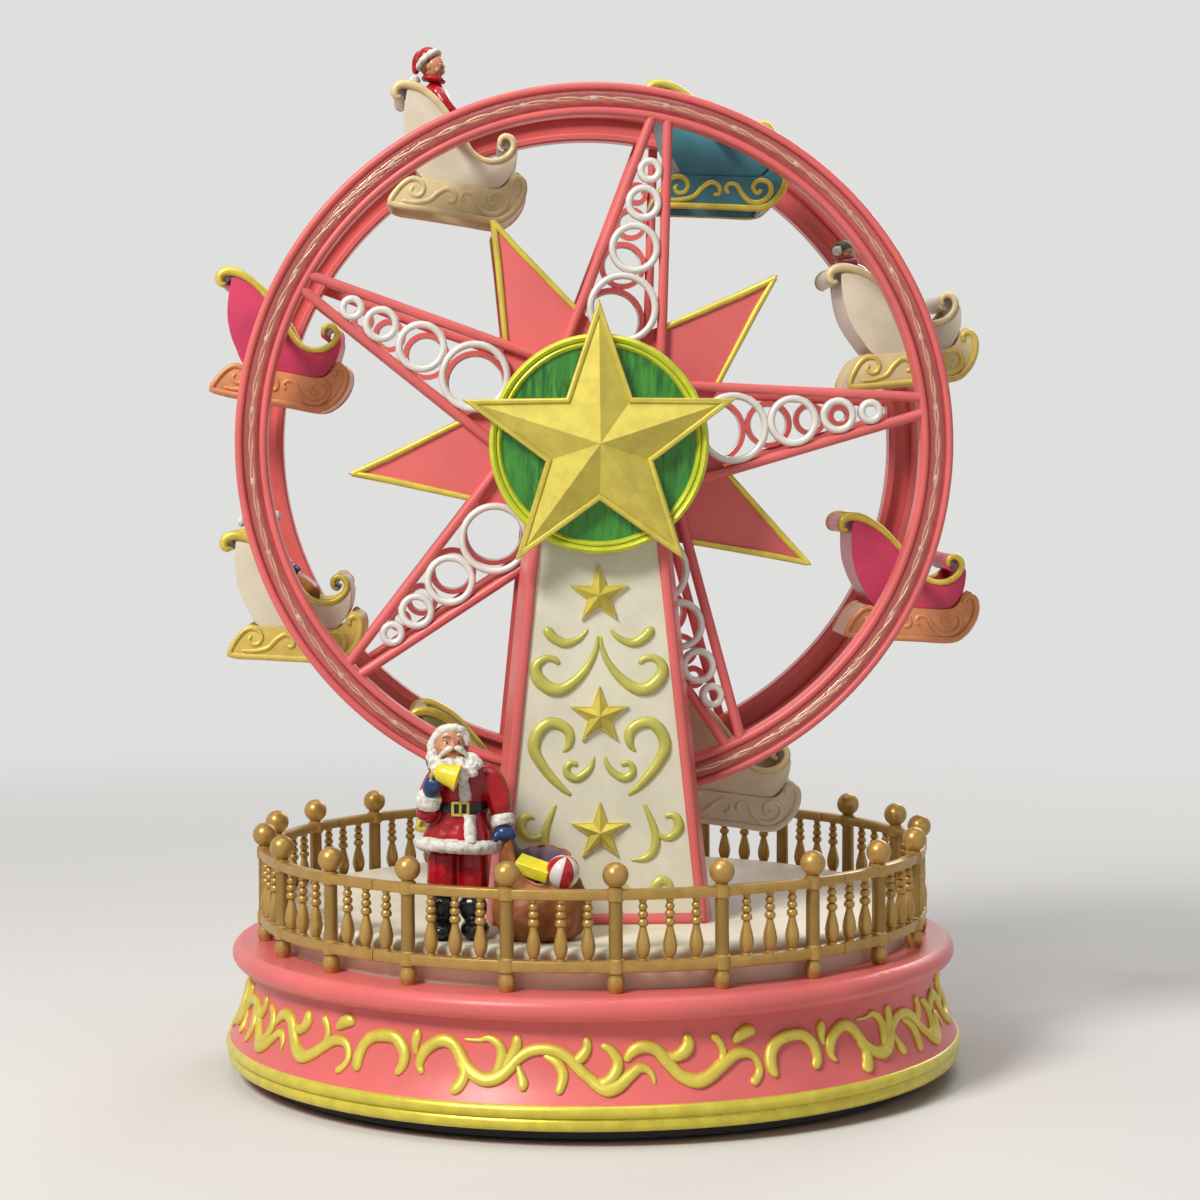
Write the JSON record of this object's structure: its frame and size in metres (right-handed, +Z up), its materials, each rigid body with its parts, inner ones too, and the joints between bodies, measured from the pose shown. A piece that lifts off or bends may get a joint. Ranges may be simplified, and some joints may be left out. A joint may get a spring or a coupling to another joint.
{
  "type": "lighted ferris wheel ornament",
  "caption": "Battery driven Christmas ferris wheel: drum base with gilt fence, towers, lit spoked rims, level sleigh gondolas, and a Santa with his sack on the deck.",
  "frame": {"origin": "middle of the base on the ground", "axes": "+Z up, the front with the hub star and the Santa faces -Y, +X to the viewer's right"},
  "size_m": [0.2821, 0.274, 0.3789],
  "materials": {
    "pink": "satin",
    "antique_gold": "satin",
    "bright_gold": "satin",
    "cream": "satin",
    "silver_white": "satin",
    "green_enamel": "gloss",
    "clear_tube": "gloss",
    "black_plastic": "matte",
    "white_plastic": "matte",
    "rubber": "matte",
    "steel": "brushed",
    "brass": "polished",
    "battery_skin": "gloss",
    "board_green": "satin",
    "copper_wire": "satin",
    "santa_paint": "satin",
    "sack_brown": "matte",
    "toy_yellow": "satin",
    "sleigh_cream": "satin",
    "sleigh_teal": "satin",
    "sleigh_raspberry": "satin",
    "sleigh_olive": "satin"
  },
  "bodies": {
    "base": {"rubber_feet": "rubber", "bottom_cover": "black_plastic", "battery_door": "black_plastic", "battery_box": "black_plastic", "battery_cells": "battery_skin", "battery_contacts": "steel", "circuit_board": "board_green", "speaker": "black_plastic", "foot_band": "bright_gold", "base_shell": "pink", "lip_ring": "pink", "deck_plate": "cream", "fence_front": "antique_gold", "fence_right": "antique_gold", "fence_back": "antique_gold", "fence_left": "antique_gold", "front_tower_shell": "pink", "rear_tower_shell": "pink", "front_tower_panel": "cream", "rear_tower_panel": "cream", "tower_stars": "bright_gold", "tower_scrolls": "bright_gold", "axle_bushes": "brass", "front_hub_disc": "green_enamel", "front_hub_star": "bright_gold", "contact_brushes": "brass", "gear_motor": "steel", "rear_gear_cover": "cream", "santa_figure": "santa_paint", "sack_toys": "toy_yellow", "gift_sack": "sack_brown", "case_screws": "steel", "switch_housing": "black_plastic", "wire_leads": "copper_wire"},
    "wheel": {"axle": "steel", "rear_wheel": "pink", "front_wheel": "pink", "ray_trims": "bright_gold", "ring_beads": "silver_white", "rear_light_tube": "clear_tube", "front_light_tube": "clear_tube", "wheel_spool": "pink", "sleigh_pins": "steel", "slip_ring": "brass", "drive_gear": "white_plastic"},
    "pinion": {"motor_pinion": "brass"},
    "switch_knob": {"power_switch": "black_plastic"},
    "sleigh_car_1": {"sleigh_1": "sleigh_cream", "rider_1": "santa_paint"},
    "sleigh_car_2": {"sleigh_2": "sleigh_teal"},
    "sleigh_car_3": {"sleigh_3": "sleigh_cream", "rider_3": "sleigh_olive"},
    "sleigh_car_4": {"sleigh_4": "sleigh_raspberry"},
    "sleigh_car_5": {"sleigh_5": "sleigh_cream"},
    "sleigh_car_6": {"sleigh_6": "sleigh_olive"},
    "sleigh_car_7": {"sleigh_7": "sleigh_cream", "rider_7": "sleigh_olive"},
    "sleigh_car_8": {"sleigh_8": "sleigh_raspberry"}
  },
  "joints": [
    {"name": "wheel_spin", "type": "hinge", "parent": "base", "child": "wheel", "pos_m": [0, 0, 0.2315], "axis": [0, 1, 0], "continuous": true},
    {"name": "pinion_spin", "type": "hinge", "parent": "base", "child": "pinion", "pos_m": [0, 0, 0.2075], "axis": [0, 1, 0], "continuous": true},
    {"name": "switch_slide", "type": "slide", "parent": "base", "child": "switch_knob", "axis": [1, 0, 0], "range_m": [0, 0.004]},
    {"name": "sleigh_1_swing", "type": "hinge", "parent": "wheel", "child": "sleigh_car_1", "pos_m": [-0.04983, 0, 0.34341], "axis": [0, 1, 0], "continuous": true},
    {"name": "sleigh_2_swing", "type": "hinge", "parent": "wheel", "child": "sleigh_car_2", "pos_m": [0.0439, 0, 0.34586], "axis": [0, 1, 0], "continuous": true},
    {"name": "sleigh_3_swing", "type": "hinge", "parent": "wheel", "child": "sleigh_car_3", "pos_m": [0.11191, 0, 0.28132], "axis": [0, 1, 0], "continuous": true},
    {"name": "sleigh_4_swing", "type": "hinge", "parent": "wheel", "child": "sleigh_car_4", "pos_m": [0.11436, 0, 0.1876], "axis": [0, 1, 0], "continuous": true},
    {"name": "sleigh_5_swing", "type": "hinge", "parent": "wheel", "child": "sleigh_car_5", "pos_m": [0.04983, 0, 0.11959], "axis": [0, 1, 0], "continuous": true},
    {"name": "sleigh_6_swing", "type": "hinge", "parent": "wheel", "child": "sleigh_car_6", "pos_m": [-0.0439, 0, 0.11714], "axis": [0, 1, 0], "continuous": true},
    {"name": "sleigh_7_swing", "type": "hinge", "parent": "wheel", "child": "sleigh_car_7", "pos_m": [-0.11191, 0, 0.18168], "axis": [0, 1, 0], "continuous": true},
    {"name": "sleigh_8_swing", "type": "hinge", "parent": "wheel", "child": "sleigh_car_8", "pos_m": [-0.11436, 0, 0.2754], "axis": [0, 1, 0], "continuous": true}
  ],
  "couplings": [
    {"joint": "pinion_spin", "follows": "wheel_spin", "ratio": -4},
    {"joint": "sleigh_1_swing", "follows": "wheel_spin", "ratio": -1},
    {"joint": "sleigh_2_swing", "follows": "wheel_spin", "ratio": -1},
    {"joint": "sleigh_3_swing", "follows": "wheel_spin", "ratio": -1},
    {"joint": "sleigh_4_swing", "follows": "wheel_spin", "ratio": -1},
    {"joint": "sleigh_5_swing", "follows": "wheel_spin", "ratio": -1},
    {"joint": "sleigh_6_swing", "follows": "wheel_spin", "ratio": -1},
    {"joint": "sleigh_7_swing", "follows": "wheel_spin", "ratio": -1},
    {"joint": "sleigh_8_swing", "follows": "wheel_spin", "ratio": -1}
  ]
}
